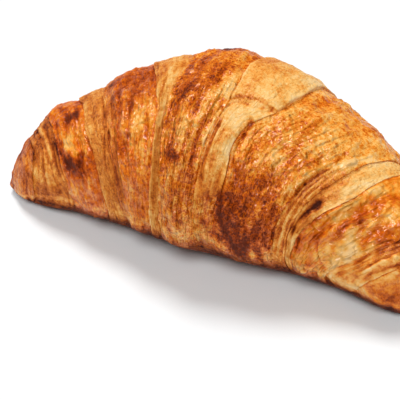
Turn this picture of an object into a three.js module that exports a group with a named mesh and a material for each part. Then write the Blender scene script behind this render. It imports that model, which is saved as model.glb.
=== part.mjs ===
// A whole croissant, baked in one piece and lying on its flat underside.
//
// The body is swept along a curved spine in the X-Y plane. "s" is the distance along that spine
// in millimetres, 0 in the middle and negative towards the left tip. "turn" is the angle round
// the section: 0 points out of the bend (to the back), 90 degrees is the top, 180 degrees is the
// front, and 270 degrees is the underside. The rolled dough shows as wraps that overlap like
// shingles towards the middle, so each wrap begins with a small step.

import * as THREE from 'three';

// Spine, millimetres and radians
const SPINE_LENGTH = 176;
const LEFT_TIP_HEADING = 0.55;
const RIGHT_TIP_HEADING = 0.6;
const BEND_POWER = 1.2;

// Section: half width at each share of the half spine, then height and shape ratios
const HALF_WIDTHS = [
  [-1, 5], [-0.85, 17.3], [-0.65, 24.5], [-0.4, 33], [-0.1, 39.4],
  [0.2, 37.7], [0.45, 31.2], [0.7, 23.7], [0.87, 18.6], [1, 8.5],
];
const TIP_ROUNDING = 0.1;
const HEIGHT_PER_WIDTH = 0.79;
const WAIST_PER_HEIGHT = 0.41;
const UNDERSIDE_SWELL = 1.2;

// Wraps from the left tip to the right tip. "top" is where a wrap begins on the crown, and
// "slant" is how far that edge leans along the spine between the crown and the front. The three
// heights are how far the wrap stands off the body where it begins, in its middle and at its end.
const WRAPS = [
  { top: -88, slant: 0, heights: [0, 0.6, -0.6], rows: 7 },
  { top: -78, slant: 2.5, heights: [-1, -0.7, -0.2], rows: 4 },
  { top: -67.5, slant: 9, heights: [0.5, 0.7, -0.5], rows: 5 },
  { top: -54, slant: 11, heights: [0.6, 0.1, -0.8], rows: 4 },
  { top: -45, slant: 10.5, heights: [0, 0.8, -0.5], rows: 6 },
  { top: -28, slant: 10, heights: [0.6, 0.3, -1.4], rows: 5 },
  { top: -17, slant: 3.5, heights: [-0.2, 1.3, -0.4], rows: 7 },
  { top: 3.5, slant: -1, heights: [0.5, 0.7, 0.3], rows: 7 },
  { top: 20.5, slant: -9, heights: [-0.6, 1, 0], rows: 8 },
  { top: 49.5, slant: -9.5, heights: [-1.1, -0.6, -0.4], rows: 4 },
  { top: 55, slant: -11, heights: [0, 0.6, 0], rows: 5 },
  { top: 72, slant: -10, heights: [-0.7, 0.2, -0.2], rows: 4 },
  { top: 80, slant: -5, heights: [-0.6, 0.2, 0], rows: 8 },
  { top: 88, slant: 0 },
];
const STEP_RUN = 0.7;
const SECTION_SIDES = 36;

const CRUST_COLOUR = '#c9792c';

const HALF_SPINE = SPINE_LENGTH / 2;
const smooth = THREE.MathUtils.smoothstep;
const lerp = THREE.MathUtils.lerp;

const widthCurve = new THREE.CubicInterpolant(
  HALF_WIDTHS.map(([share]) => share),
  HALF_WIDTHS.map(([, width]) => width),
  1,
);

// Centre of the section and the heading of the spine at s, by adding up short steps
function makeSpine(steps = 400) {
  const points = [];
  for (const side of [-1, 1]) {
    const tipHeading = side < 0 ? LEFT_TIP_HEADING : RIGHT_TIP_HEADING;
    let [x, y] = [0, 0];
    for (let i = 0; i <= steps; i += 1) {
      const heading = side * tipHeading * (i / steps) ** BEND_POWER;
      points.push({ s: side * HALF_SPINE * (i / steps), x, y, heading });
      x += side * Math.cos(heading) * (HALF_SPINE / steps);
      y -= side * Math.sin(heading) * (HALF_SPINE / steps);
    }
  }
  return points.sort((a, b) => a.s - b.s);
}

const spine = makeSpine();

function spineAt(s) {
  const place = THREE.MathUtils.clamp((s + HALF_SPINE) / SPINE_LENGTH, 0, 1) * (spine.length - 1);
  const before = spine[Math.floor(place)];
  const after = spine[Math.ceil(place)];
  const share = place - Math.floor(place);
  return {
    x: lerp(before.x, after.x, share),
    y: lerp(before.y, after.y, share),
    heading: lerp(before.heading, after.heading, share),
  };
}

// One point of the crust, standing "lift" millimetres off the plain body
function crustPoint(s, turn, lift) {
  const share = THREE.MathUtils.clamp(s / HALF_SPINE, -1, 1);
  const intoTip = Math.max(0, (Math.abs(share) - 1 + TIP_ROUNDING) / TIP_ROUNDING);
  const round = Math.sqrt(Math.max(0, 1 - intoTip * intoTip));
  const halfWidth = widthCurve.evaluate(share)[0];
  const height = 2 * halfWidth * HEIGHT_PER_WIDTH;
  const waist = height * WAIST_PER_HEIGHT;
  const reach = Math.sin(turn) > 0 ? height - waist : waist * UNDERSIDE_SWELL;
  const out = (halfWidth + lift) * round * Math.cos(turn);
  const z = waist + (reach + lift) * round * Math.sin(turn);
  const { x, y, heading } = spineAt(s);
  return [x + out * Math.sin(heading), y + out * Math.cos(heading), Math.max(0, z)];
}

// Steps and bulges fade out where the crust turns under to the flat base
function wrapStrength(turn) {
  const down = -Math.sin(turn);
  return 1 - smooth(down, 0.25, 0.7);
}

function edgePlace(wrap, turn) {
  return wrap.top - wrap.slant * Math.cos(turn);
}

// Height across a wrap: a parabola through its three heights
function wrapLift([start, middle, end], share) {
  const bow = 4 * (middle - (start + end) / 2);
  return lerp(start, end, share) + bow * share * (1 - share);
}

// Rows run round the body. The poles at the two tips are single points.
function crustRows() {
  const rows = [];
  for (let w = 0; w < WRAPS.length - 1; w += 1) {
    const wrap = WRAPS[w];
    const next = WRAPS[w + 1];
    const isFirst = w === 0;
    const isLast = w === WRAPS.length - 2;
    for (let i = isFirst ? 1 : 0; i <= wrap.rows - (isLast ? 1 : 0); i += 1) {
      let share = i / wrap.rows;
      if (isFirst) share = 1 - Math.cos(share * Math.PI / 2);
      if (isLast) share = Math.sin(share * Math.PI / 2);
      rows.push({ wrap, next, share });
    }
  }
  return rows;
}

function croissantGeometry() {
  const rows = crustRows();
  const positions = [];
  for (const { wrap, next, share } of rows) {
    for (let j = 0; j < SECTION_SIDES; j += 1) {
      const turn = (j / SECTION_SIDES) * 2 * Math.PI;
      const from = edgePlace(wrap, turn) + (wrap === WRAPS[0] ? 0 : STEP_RUN / 2);
      const to = edgePlace(next, turn) - (next === WRAPS.at(-1) ? 0 : STEP_RUN / 2);
      const lift = wrapLift(wrap.heights, share) * wrapStrength(turn);
      positions.push(...crustPoint(lerp(from, to, share), turn, lift));
    }
  }
  const leftPole = positions.push(...crustPoint(-HALF_SPINE, 0, 0)) / 3 - 1;
  const rightPole = positions.push(...crustPoint(HALF_SPINE, 0, 0)) / 3 - 1;

  const faces = [];
  for (let j = 0; j < SECTION_SIDES; j += 1) {
    const k = (j + 1) % SECTION_SIDES;
    faces.push(leftPole, k, j);
    for (let i = 0; i < rows.length - 1; i += 1) {
      const here = i * SECTION_SIDES;
      const there = here + SECTION_SIDES;
      faces.push(here + j, here + k, there + j, here + k, there + k, there + j);
    }
    const last = (rows.length - 1) * SECTION_SIDES;
    faces.push(rightPole, last + j, last + k);
  }

  const geometry = new THREE.BufferGeometry();
  geometry.setAttribute('position', new THREE.Float32BufferAttribute(positions, 3));
  geometry.setIndex(faces);
  geometry.computeVertexNormals();
  return geometry;
}

// The origin is the centre of the underside: middle of the length and of the depth
function standOnOrigin(geometry) {
  geometry.computeBoundingBox();
  const centre = geometry.boundingBox.getCenter(new THREE.Vector3());
  geometry.translate(-centre.x, -centre.y, 0);
  return geometry;
}

const crust = new THREE.MeshStandardMaterial({
  color: CRUST_COLOUR,
  roughness: 0.45,
  metalness: 0,
});
const croissant = new THREE.Mesh(standOnOrigin(croissantGeometry()), crust);
croissant.name = 'croissant';

const part = new THREE.Group();
part.add(croissant);

export default part;
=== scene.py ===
import math

import bpy
import numpy as np
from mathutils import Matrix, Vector


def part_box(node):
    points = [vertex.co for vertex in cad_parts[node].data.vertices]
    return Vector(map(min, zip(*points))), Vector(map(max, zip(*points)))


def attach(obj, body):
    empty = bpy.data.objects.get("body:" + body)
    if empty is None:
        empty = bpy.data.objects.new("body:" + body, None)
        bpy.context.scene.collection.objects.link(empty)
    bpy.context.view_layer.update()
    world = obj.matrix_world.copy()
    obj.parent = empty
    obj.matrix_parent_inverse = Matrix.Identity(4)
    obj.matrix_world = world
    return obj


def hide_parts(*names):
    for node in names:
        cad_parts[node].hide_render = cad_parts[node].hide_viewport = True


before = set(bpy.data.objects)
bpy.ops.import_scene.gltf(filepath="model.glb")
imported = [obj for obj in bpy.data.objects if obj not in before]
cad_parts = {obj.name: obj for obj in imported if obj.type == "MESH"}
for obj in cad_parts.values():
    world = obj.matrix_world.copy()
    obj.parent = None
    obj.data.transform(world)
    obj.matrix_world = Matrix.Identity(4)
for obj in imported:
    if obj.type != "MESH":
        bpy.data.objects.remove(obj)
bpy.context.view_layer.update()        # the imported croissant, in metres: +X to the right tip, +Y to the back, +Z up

MM = 0.001

# ---------------------------------------------------------------------------------------------
# Sizes, in millimetres and degrees
#
# "s" is the distance along the middle of the roll, 0 halfway and negative towards the left tip.
# "turn" goes round the roll: 0 is the back, 90 the crown, 180 the front, 270 the underside.
# "toast" is how brown the crust looks, from 0, pale, to about 1, dark brown: mostly how it baked,
# and in places painted shade and painted highlight, as said where they are added.
# ---------------------------------------------------------------------------------------------

SPINE_LENGTH = 176.0
HALF_SPINE = SPINE_LENGTH / 2
# How far the roll has bent to the front at its tips, in radians, and how late it bends
LEFT_TIP_HEADING = 0.55
RIGHT_TIP_HEADING = 0.60
BEND_POWER = 1.2

# Half width of the roll at these shares of the way from its middle to a tip
HALF_WIDTHS = (
    (-1, 5.0), (-0.85, 17.3), (-0.65, 24.5), (-0.4, 33.0), (-0.1, 39.4),
    (0.2, 37.7), (0.45, 31.2), (0.7, 23.7), (0.87, 18.6), (1, 8.5),
)
# The tips round off over the last tenth of the way. The roll is flattened, and its underside is
# cut flat where it swells below the floor.
TIP_ROUNDING = 0.1
HEIGHT_PER_WIDTH = 0.79
WAIST_PER_HEIGHT = 0.41
UNDERSIDE_SWELL = 1.2
# Average radius of the roll's outline, as a share of its half width
RADIUS_PER_WIDTH = 0.95

# The columns of the mesh lie closest together round this turn, and far apart underneath
COLUMNS = 196
CLOSEST_TURN = 124
CLOSEST_SPREAD = 36
CLOSEST_DENSITY = 1.0
UNDERSIDE_DENSITY = 0.25

# Where each wrap of dough begins: its s at these turns. The edges lean back from the front of
# the roll to its crown, away from the middle, because the dough was rolled up from a triangle.
EDGE_TURNS = (0, 60, 90, 105, 120, 150, 190, 270)

# Each wrap: its edge, which way the lip at that edge faces and how far it hangs over, how far
# the wrap stands off the body where it begins, in its middle and where it ends, how much of it
# is the cut side of the dough, how clearly thin layers show there, how brown it baked, how much
# egg wash it has, how many chance wrinkles and how deep, how far apart its rows lie where it is
# widest, and how grainy its skin is.
WRAPS = (
    dict(name="left tip", edge=(-88,) * 8, lip="", overhang=0, heights=(0, 0.6, -0.4), cut=0.4,
         layers=0.5, toast=0.61, glaze=0.6, wrinkles=10, depth=0.5, rows=0.70, grain=0.7),
    dict(name="left fan", edge=(-82, -79, -77, -76, -75.5, -76, -77, -80), lip="left", overhang=0.35,
         heights=(-0.8, -0.5, -0.3), cut=0.9, layers=0.9, toast=0.58, glaze=0.35, wrinkles=3,
         depth=0.4, rows=0.70, grain=0.6),
    dict(name="left shoulder", edge=(-75, -71.5, -68.5, -67, -65.5, -62, -57, -68), lip="left",
         overhang=0.35, heights=(0.4, 0.9, -0.5), cut=0.0, layers=0.0, toast=0.65, glaze=0.9,
         wrinkles=16, depth=0.9, rows=0.58, grain=0.45),
    dict(name="left cut side", edge=(-63, -59.5, -56, -54, -52, -45, -40, -56), lip="left",
         overhang=0.25, heights=(0.5, 0.2, -0.6), cut=1.0, layers=0.42, toast=0.46, glaze=0.3,
         wrinkles=4, depth=0.4, rows=0.42, grain=0.7),
    dict(name="left wrap", edge=(-53, -50, -47.3, -45, -42.8, -37.3, -32, -45), lip="left",
         overhang=0.4, heights=(0.1, 0.9, -0.5), cut=0.0, layers=0.0, toast=0.61, glaze=0.9,
         wrinkles=20, depth=1.0, rows=0.55, grain=0.7),
    dict(name="middle cut side", edge=(-38, -33, -27.8, -24, -21, -18, -17.5, -28), lip="left",
         overhang=0.3, heights=(0.6, 0.4, -1.2), cut=0.9, layers=0.5, toast=0.41, glaze=0.4,
         wrinkles=5, depth=0.4, rows=0.62, grain=0.7),
    dict(name="middle wrap", edge=(-20, -17.8, -17.3, -17.2, -17.2, -14.2, -13, -17), lip="left",
         overhang=0.3, heights=(-0.1, 1.4, -0.3), cut=0.0, layers=0.0, toast=0.60, glaze=1.0,
         wrinkles=22, depth=0.6, rows=0.55, grain=1.0),
    dict(name="tongue", edge=(3, 5, 3.8, 4.5, 3.3, 1.7, 1.6, 3), lip="left", overhang=0.5,
         heights=(0.7, 1.3, 0.8), cut=0.45, layers=0.12, toast=0.29, glaze=0.45, wrinkles=12,
         depth=0.6, rows=0.62, grain=1.0),
    dict(name="right wrap", edge=(27, 24, 23.4, 19.6, 13.4, 12.2, 9, 20), lip="right",
         overhang=0.5, heights=(-0.5, 1.0, 0.1), cut=0.0, layers=0.0, toast=0.53, glaze=0.95,
         wrinkles=34, depth=0.6, rows=0.55, grain=1.0),
    dict(name="right cut side", edge=(58, 54, 50.8, 48.5, 46.0, 41.0, 39.2, 46), lip="right",
         overhang=0.6, heights=(-0.7, -0.3, -0.2), cut=1.0, layers=0.15, toast=0.27, glaze=0.35,
         wrinkles=5, depth=0.4, rows=0.40, grain=0.8),
    dict(name="right shoulder", edge=(65, 59.5, 56.9, 56.3, 54.2, 45.6, 41.5, 54), lip="right",
         overhang=0.05, heights=(-0.4, 0.7, 0), cut=0.1, layers=0.1, toast=0.49, glaze=1.0,
         wrinkles=26, depth=1.0, rows=0.52, grain=0.3),
    dict(name="right fan", edge=(79, 77, 75.5, 74.5, 73, 66.5, 55, 70), lip="right", overhang=0.3,
         heights=(-0.7, 0.1, -0.2), cut=0.8, layers=0.9, toast=0.48, glaze=0.6, wrinkles=8,
         depth=0.7, rows=0.50, grain=0.5),
    dict(name="right tip", edge=(84, 83, 82, 81, 80, 76, 68, 80), lip="right", overhang=0.25,
         heights=(-0.6, 0.1, 0), cut=0.4, layers=0.4, toast=0.60, glaze=0.7, wrinkles=8,
         depth=0.5, rows=0.80, grain=0.6),
)
RIGHT_END = (88,) * 8
EDGES = (*(wrap["edge"] for wrap in WRAPS), RIGHT_END)
TONGUE_NUMBER = [wrap["name"] for wrap in WRAPS].index("tongue")

# The thin layers on the cut sides: how far apart they lie and how far they stand out
LAYER_SPACING = 1.7
LAYER_RELIEF = 0.7

# Across a lip, from the surface below it to the surface above: share of the overhang that the
# row is tucked in by, level between the two surfaces, and where the row goes where no lip is.
LIP_PROFILE = (
    (0.80, -0.12, -0.36),
    (1.05, 0.12, -0.22),
    (0.95, 0.34, -0.08),
    (0.35, 0.46, 0.04),
    (0.00, 0.60, 0.16),
    (-0.02, 0.80, 0.28),
    (0.16, 0.97, 0.40),
)
# How far the rows of a wrap stay from a lip on it, under a lip, and where no lip is
LIP_RUN = 0.5
TUCKED_SHARE = 0.62
PLAIN_RUN = 0.5
# Distance from the edge over which a wrap comes out from under its neighbour's lip
COMES_OUT = (-0.4, 1.0)

# Spots darker or paler than the rest of their wrap: name, s, turn, half size across and along
# the wrap, toast. Most baked so; a few are painted shadow, painted shade and painted highlight,
# as said beside them. They lie along the wraps, which lean by up to MARK_LEAN millimetres
# for each degree of turn, most of all near the tips.
MARKS = {
    "left fan": (
        ("pale side", -76.6, 137, 2.0, 6.0, -0.28),
        ("pale crown", -70.6, 117, 1.8, 5.0, -0.20),
        ("brown crown", -77.0, 95, 2.2, 4.0, 0.24),
    ),
    "left shoulder": (
        ("dark crown", -64.0, 92, 4.4, 7.0, 0.26),
        ("dark foot", -57.5, 144, 3.2, 4.6, 0.28),
        ("brown side", -61.8, 140, 2.8, 5.4, 0.30),
        ("brown crown", -59.0, 106, 3.0, 4.0, 0.32),
        ("dark foot, second part", -53, 151, 4.0, 3.2, 0.26),
        ("pale blister above the dark foot", -52.6, 134, 2.0, 4.0, -0.30),
        ("pale side", -62.2, 121, 1.8, 4.0, -0.24),
        # Partly a paler blister and partly a painted highlight on its glossy top.
        ("pale blister", -58.0, 127, 3.4, 5.5, -0.34),
    ),
    "left cut side": (
        ("pale front", -49.6, 127, 2.2, 6.0, -0.22),
        ("pale crown", -56.2, 99, 1.6, 4.0, -0.18),
    ),
    "left wrap": (
        ("pale crown", -46.6, 94, 1.8, 4.0, -0.22),
        ("brown front", -38.0, 112, 4.5, 8.0, 0.14),
        ("pale side", -27.2, 124, 3.0, 11.0, -0.20),
        ("orange crown", -38, 88, 6.0, 10.0, 0.16),
        ("brown back", -33.0, 76, 4.0, 6.0, 0.18),
        ("brown start", -43.4, 80, 2.2, 5.0, 0.20),
    ),
    "middle cut side": (
        ("pale front", -20.5, 108, 2.4, 9.0, -0.16),
        ("pale foot", -22.4, 148, 2.0, 5.0, -0.22),
        ("pale crown", -22.2, 95, 1.6, 5.0, -0.24),
        ("orange start", -31.0, 109.5, 2.0, 4.0, 0.20),
    ),
    "middle wrap": (
        ("dark edge", -14.4, 107, 2.6, 18.0, 0.32),
        ("pale streaks beside the tongue", 2.2, 101, 2.4, 6.0, -0.40),
        ("golden front", -7.4, 130, 2.4, 3.6, -0.24),
        ("brown front", -5.0, 121.5, 1.6, 3.0, 0.26),
        ("brown foot", -14.0, 150, 2.0, 4.0, 0.22),
        ("brown side", 1.4, 144, 1.6, 3.4, 0.16),
        ("orange crown beside the fold", -4.6, 96, 1.8, 4.0, 0.22),
        ("brown back", -8.5, 63, 3.0, 5.0, 0.26),
        ("orange front of the crown", -3.2, 105, 1.6, 3.0, 0.20),
        ("orange back, second part", -7.6, 53, 5.0, 5.0, 0.26),
        ("brown front, second part", -12.0, 139, 3.0, 3.0, 0.18),
        ("orange back", -10.4, 91, 2.2, 7.0, 0.30),
        ("caramel spot", -8.6, 142.5, 3.6, 2.1, 0.50),
        ("brown crown", -10.8, 110, 2.0, 4.0, 0.34),
        ("brown lip", -16.2, 124, 1.4, 5.0, 0.26),
        ("red spot", -5.0, 115, 1.2, 2.5, 0.16),
        ("orange crown", -7.0, 86, 5.5, 9.0, 0.12),
        ("orange dash beside the fold", 2.2, 109, 0.7, 2.2, 0.34),
    ),
    "tongue": (
        ("golden right rim", 14.4, 134, 1.2, 5.0, 0.06),
        ("orange side", 4.6, 68, 3.0, 5.0, 0.26),
        ("shaded rim", 5.2, 142.5, 1.3, 3.4, 0.22),
        ("top of the notch", 14.6, 116.8, 1.4, 0.8, 0.24),
        ("brown shade", 6.2, 130, 1.2, 2.2, 0.14),
        ("pale front", 8.6, 117, 3.4, 4.0, -0.26),
        ("pale middle", 8.6, 137, 2.0, 3.5, -0.12),
        ("brown shoulder", 14, 86, 6.0, 6.0, 0.07),
        # The pale corner is a painted highlight: a sheen on the wash.
        ("pale corner", 11.4, 132, 1.4, 3.0, -0.30),
        ("pale tip beside the fold", 4.4, 103, 1.4, 3.0, -0.32),
    ),
    "right wrap": (
        ("pale start", 24.0, 92.5, 2.4, 4.0, -0.28),
        # Painted highlight: a pale sheen low on the side.
        ("painted sheen low on the side", 26.0, 132, 2.4, 2.4, -0.16),
        ("orange back", 45.4, 57, 3.0, 4.0, 0.18),
        ("orange lip", 48.8, 114, 1.4, 3.0, 0.20),
        ("brown foot of the sheets", 41.0, 186, 2.0, 4.0, 0.22),
        ("orange front", 35.4, 118, 3.4, 5.0, 0.20),
        ("orange patch beside the tongue", 30, 97, 3.0, 5.0, 0.12),
        # Painted highlight: a pale sheen in the corner beside the tongue.
        ("painted sheen beside the tongue", 16.4, 126, 1.8, 4.5, -0.20),
        ("brown front below the tongue", 18.2, 149, 3.0, 5.0, 0.22),
        ("orange side", 15.6, 140.5, 2.0, 5.0, 0.42),
        # These four dark marks on the low front are partly browner crust and partly painted shadow.
        ("dark front beside the tongue", 14, 161, 4.6, 10.0, 0.20),
        ("brown side of the torn end", 12.2, 163, 3.6, 7.0, 0.40),
        ("dark front", 24, 169, 13.0, 12.0, 0.20),
        ("darkest front", 18, 177, 8.0, 11.0, 0.12),
        ("brown side", 27, 147, 5.0, 7.0, 0.16),
        ("brown front before the sheets", 32.2, 161, 2.6, 5.0, 0.34),
        ("orange start", 25.5, 112.5, 2.0, 4.0, 0.20),
        ("pale sheet below the crown", 38.2, 130, 1.2, 4.0, -0.20),
        ("pale sheets", 36.2, 168, 2.4, 9.0, -0.42),
        ("brown front above the sheets", 31.8, 145, 2.4, 4.0, 0.24),
        ("brown end of the strand", 42.0, 156, 1.8, 5.5, 0.42),
        ("pale end", 41.2, 114, 1.8, 5.0, -0.34),
        ("orange end", 44.4, 127.5, 1.2, 3.0, 0.30),
        # This pale side is a painted highlight: a sheen on the wash.
        ("pale side", 26.5, 129, 3.0, 3.5, -0.22),
        ("brown side below the pale one", 25.6, 140, 2.4, 4.0, 0.26),
        ("pale crown", 24.8, 66, 2.6, 5.0, -0.22),
        ("golden crown", 36.0, 89, 7.0, 11.0, -0.08),
        ("pale foot", 33.0, 187, 5.0, 5.0, -0.28),
        ("golden end", 41.0, 98, 3.0, 9.0, -0.24),
        ("pale rim", 48.4, 95, 2.0, 11.0, -0.48),
        # Painted shadow on the foot beside the tongue.
        ("painted shadow at the foot beside the tongue", 22, 188, 10.0, 8.0, 0.60),
        ("pale back", 46.5, 85.5, 2.0, 5.0, -0.24),
        # Painted shadow on the foot beside the tongue, nearer to it.
        ("shaded foot beside the tongue", 14.6, 189, 3.4, 5.0, 0.20),
    ),
    "right cut side": (
        # Painted shade round the hollow beside the sheets.
        ("painted shade round the hollow", 45.5, 139, 1.6, 5.0, 0.42),
        ("pale edge", 54.0, 107, 1.6, 6.0, -0.26),
    ),
    "right shoulder": (
        ("orange blister", 62.0, 122.8, 1.6, 4.4, 0.50),
        # The next two pale marks are painted glints on the blisters.
        ("painted glint on the orange blister", 64.6, 112, 1.6, 4.0, -0.32),
        ("painted glint at the end of the second blister", 67.8, 106, 2.0, 3.0, -0.14),
        ("pale back", 59.2, 97, 2.0, 4.0, -0.24),
        # Painted glint on the ridge.
        ("painted glint on the ridge", 54.2, 136, 1.8, 4.0, -0.42),
        ("brown blister", 56.6, 141, 2.4, 3.4, 0.28),
        ("second orange blister", 67.6, 129, 2.4, 8.0, 0.34),
        ("third orange blister", 71.6, 132, 1.8, 5.0, 0.22),
        ("pale crown", 64.5, 95.5, 2.4, 4.0, -0.14),
        # Painted shade in a hollow.
        ("painted shade in the hollow", 46.2, 161, 2.0, 3.0, 0.20),
        ("pale patch", 60.6, 153, 4.4, 8.5, -0.48),
        ("pale front", 54, 171, 5.0, 4.0, -0.10),
        ("pale side beside the strand", 47.2, 151, 1.6, 3.2, -0.24),
        ("pale middle", 63.0, 144.5, 2.2, 3.5, -0.28),
        ("pale foot", 56.5, 177, 5.0, 4.0, -0.30),
        ("pale foot beside the strand", 46.4, 173, 2.4, 4.0, -0.22),
        ("pale end", 65.0, 153, 1.6, 3.0, -0.20),
        ("pale underedge", 60, 193, 6.0, 4.0, -0.22),
        ("orange crown", 62, 104, 4.5, 8.0, 0.18),
    ),
    "right fan": (
        ("pale foot", 67.5, 189, 4.0, 4.0, -0.26),
        ("pale side", 77.5, 150, 2.6, 4.0, -0.24),
        ("pale start", 70.0, 165.5, 2.2, 5.0, -0.26),
        ("pale crown", 74.2, 133, 1.4, 4.0, -0.22),
    ),
    "right tip": (
        ("pale side", 79.2, 164.5, 2.0, 3.0, -0.20),
        ("brown foot", 78, 173, 4.0, 5.0, 0.12),
    ),
}
MARK_LEAN = -0.2
FULL_LEAN_AT = 50

# Ridges and furrows that run round the roll: name, the s and turn of places on their way, half
# width, height above the dough beside them, and change of toast. The browner furrows, gaps and
# hollows are partly painted shade, and the paler ridges, rims and strands partly painted highlight.
LINES = (
    ("shaded side of the tongue", ((4.7, 119), (3.5, 131), (3.0, 139), (3.4, 154)), 0.95, -0.90, 0.46),
    ("rim of the tongue", ((6.2, 121), (5.3, 131), (4.9, 139), (5.1, 150)), 0.60, 0.40, -0.12),
    ("strand left of the tongue", ((3.2, 116), (2.2, 126), (1.6, 134), (0.7, 150)), 0.60, 0.60, -0.40),
    ("furrow left of the strand", ((-0.6, 112), (-1.0, 126), (-1.4, 150)), 0.75, -0.60, 0.34),
    ("outer strand of the middle wrap", ((-2.4, 106), (-4.0, 142)), 0.60, 0.45, -0.14),
    ("outer furrow of the middle wrap", ((-3.8, 106), (-6.4, 146)), 0.60, -0.35, 0.20),
    ("notch of the tongue", ((14.3, 114), (14.0, 121), (13.4, 128)), 0.75, -0.80, 0.34),
    ("lower furrow of the tongue", ((12.2, 131), (9.4, 152)), 0.50, -0.30, 0.18),
    ("first sheet of the right wrap", ((46.5, 112), (43.7, 128), (40.2, 150), (38.9, 188)),
     0.50, 0.50, -0.18),
    ("gap under the first sheet", ((45.8, 112), (42.9, 128), (39.3, 150), (37.8, 188)), 0.40, -0.50, 0.20),
    ("second sheet of the right wrap", ((45.1, 112), (42.1, 128), (38.4, 150), (36.6, 188)),
     0.50, 0.45, -0.18),
    ("gap under the second sheet", ((44.6, 112), (41.4, 128), (37.3, 150), (35.4, 188)), 0.40, -0.50, 0.20),
    ("third sheet of the right wrap", ((44.0, 112), (40.8, 128), (36.5, 150), (34.4, 188)),
     0.50, 0.40, -0.16),
    ("gap under the third sheet", ((43.4, 112), (40.0, 128), (35.6, 150), (33.4, 188)), 0.45, -0.45, 0.26),
    ("hollow beside the sheets", ((45.2, 134), (44.6, 138), (43.8, 142)), 1.20, -1.10, 0.34),
    ("gap below the hollow", ((43.8, 142), (41.2, 153), (40.2, 164)), 0.70, -1.00, 0.50),
    ("strand down to the foot", ((47.8, 138), (45.2, 145), (42.8, 155), (41.6, 188)), 0.50, 0.70, -0.16),
    ("furrow under the strand", ((48.6, 141), (46.4, 148), (44.2, 158), (43.4, 176)), 0.55, -0.60, 0.34),
    ("glossy rim of the right shoulder", ((58.2, 98), (56.4, 116), (50.2, 142)), 0.95, 1.00, -0.16),
    ("furrow under the glossy rim", ((60.0, 100), (58.4, 116), (52.4, 142)), 0.60, -0.50, 0.06),
    ("wrinkle of the right shoulder", ((63.0, 114), (58.2, 142)), 0.40, 0.50, -0.14),
    ("second wrinkle of the right shoulder", ((64.2, 116), (59.6, 140)), 0.40, 0.45, -0.12),
    ("gap between the wrinkles", ((63.6, 115), (58.9, 141)), 0.35, -0.30, 0.16),
    ("ridge over the second blister", ((63.4, 98), (64.6, 114), (63.6, 136)), 0.80, 0.75, -0.20),
    ("crack in the right shoulder", ((50.2, 160), (53.8, 178)), 0.45, -0.70, 0.36),
    ("first furrow of the left fan", ((-74.4, 84), (-67.4, 146)), 0.45, -0.45, 0.24),
    ("strand of the left fan", ((-73.2, 86), (-66.0, 146)), 0.60, 0.40, -0.16),
    ("second furrow of the left fan", ((-72.0, 84), (-64.4, 148)), 0.45, -0.45, 0.22),
    ("furrow before the right fan", ((73.2, 117), (70.0, 138), (66.6, 153), (63.4, 166)), 0.60, -0.60, 0.24),
    ("furrow of the right fan", ((75.5, 126), (72.6, 142), (66.8, 168)), 0.45, -0.50, 0.28),
    ("strand of the right fan", ((76.6, 128), (73.6, 143), (68.6, 164)), 0.75, 0.65, -0.30),
    ("second furrow of the right fan", ((78.0, 130), (75.0, 146), (69.0, 172)), 0.50, -0.45, 0.24),
    ("second strand of the right fan", ((78.6, 138), (75.4, 157), (68.6, 182)), 0.85, 0.55, -0.28),
    ("left furrow of the left wrap", ((-45.6, 104), (-37.6, 150)), 0.80, -0.65, 0.24),
    ("ridge of the left wrap", ((-43.6, 106), (-36.0, 150)), 0.60, 0.50, -0.12),
    ("second furrow of the left wrap", ((-40.6, 96), (-34.6, 142)), 0.70, -0.50, 0.22),
    ("second ridge of the left wrap", ((-38.6, 98), (-32.6, 142)), 0.70, 0.45, -0.08),
    ("third furrow of the left wrap", ((-34.4, 104), (-29.2, 150)), 0.60, -0.40, 0.18),
    ("right sheets of the left cut side", ((-48.8, 84), (-40.4, 152)), 0.50, -0.40, 0.20),
    ("first furrow of the middle cut side", ((-30.0, 84), (-20.8, 150)), 0.50, -0.35, 0.18),
    ("second furrow of the middle cut side", ((-22.4, 96), (-18.6, 150)), 0.45, -0.35, 0.20),
    ("furrow of the left shoulder", ((-66.4, 98), (-58.4, 150)), 0.80, -0.50, 0.14),
    ("ridge of the left shoulder", ((-63.0, 92), (-57.0, 134)), 1.00, 0.50, -0.06),
    ("outer turn of the right end", ((85.0, -60), (77.5, 262)), 0.90, -0.90, 0.16),
    ("inner turn of the right end", ((87.4, 20), (85.2, 265)), 0.50, -0.60, 0.14),
    ("outer turn of the left end", ((-85.0, -60), (-78.0, 262)), 0.80, -0.80, 0.14),
    ("inner turn of the left end", ((-87.4, 20), (-85.2, 265)), 0.50, -0.60, 0.12),
)
WRINKLE_SEED = 23
# They lean, so the distance across them is this share of the distance along the roll
ACROSS_PER_S = 0.92

# The tongue is the last wrap, which ends in front in a torn tip: the turn where it ends on its
# left, how much sooner it ends on its right, and the two folds and the crease across it
TONGUE_END = 165.0
TONGUE_END_SLANT = 9.0
TONGUE_FOLD = ((2, 112), (4.8, 108), (7, 106), (10.2, 104.5), (15.2, 103), (20, 104), (26, 104))
SECOND_FOLD = ((2, 116), (6.5, 110), (9.5, 108), (12.8, 107.5), (15.2, 106.5), (19, 105), (26, 103))
TONGUE_CREASE = ((2, 122), (5.8, 125), (8.8, 125.2), (12.5, 126.5), (20, 128))
FOLD_DEPTH = 0.9
FOLD_FADES = (4, 26)
SECOND_FOLD_SHARE = 0.5
CREASE_SHARE = 0.3
# Turns between which the tongue gets thinner and browner, and by how much
TONGUE_THINS = (140, 162)
TONGUE_THINNING = 0.6
TONGUE_BROWNING = 0.22
# How much browner its folds, its crease and its torn rim are. At the folds and the crease this is
# partly baked colour and partly painted shade.
FOLD_SHADE_AND_TOAST = 0.38
SECOND_FOLD_SHADE_AND_TOAST = 0.40
TONGUE_CREASE_SHADE = 0.16
TORN_RIM_TOAST = 0.10
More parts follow.
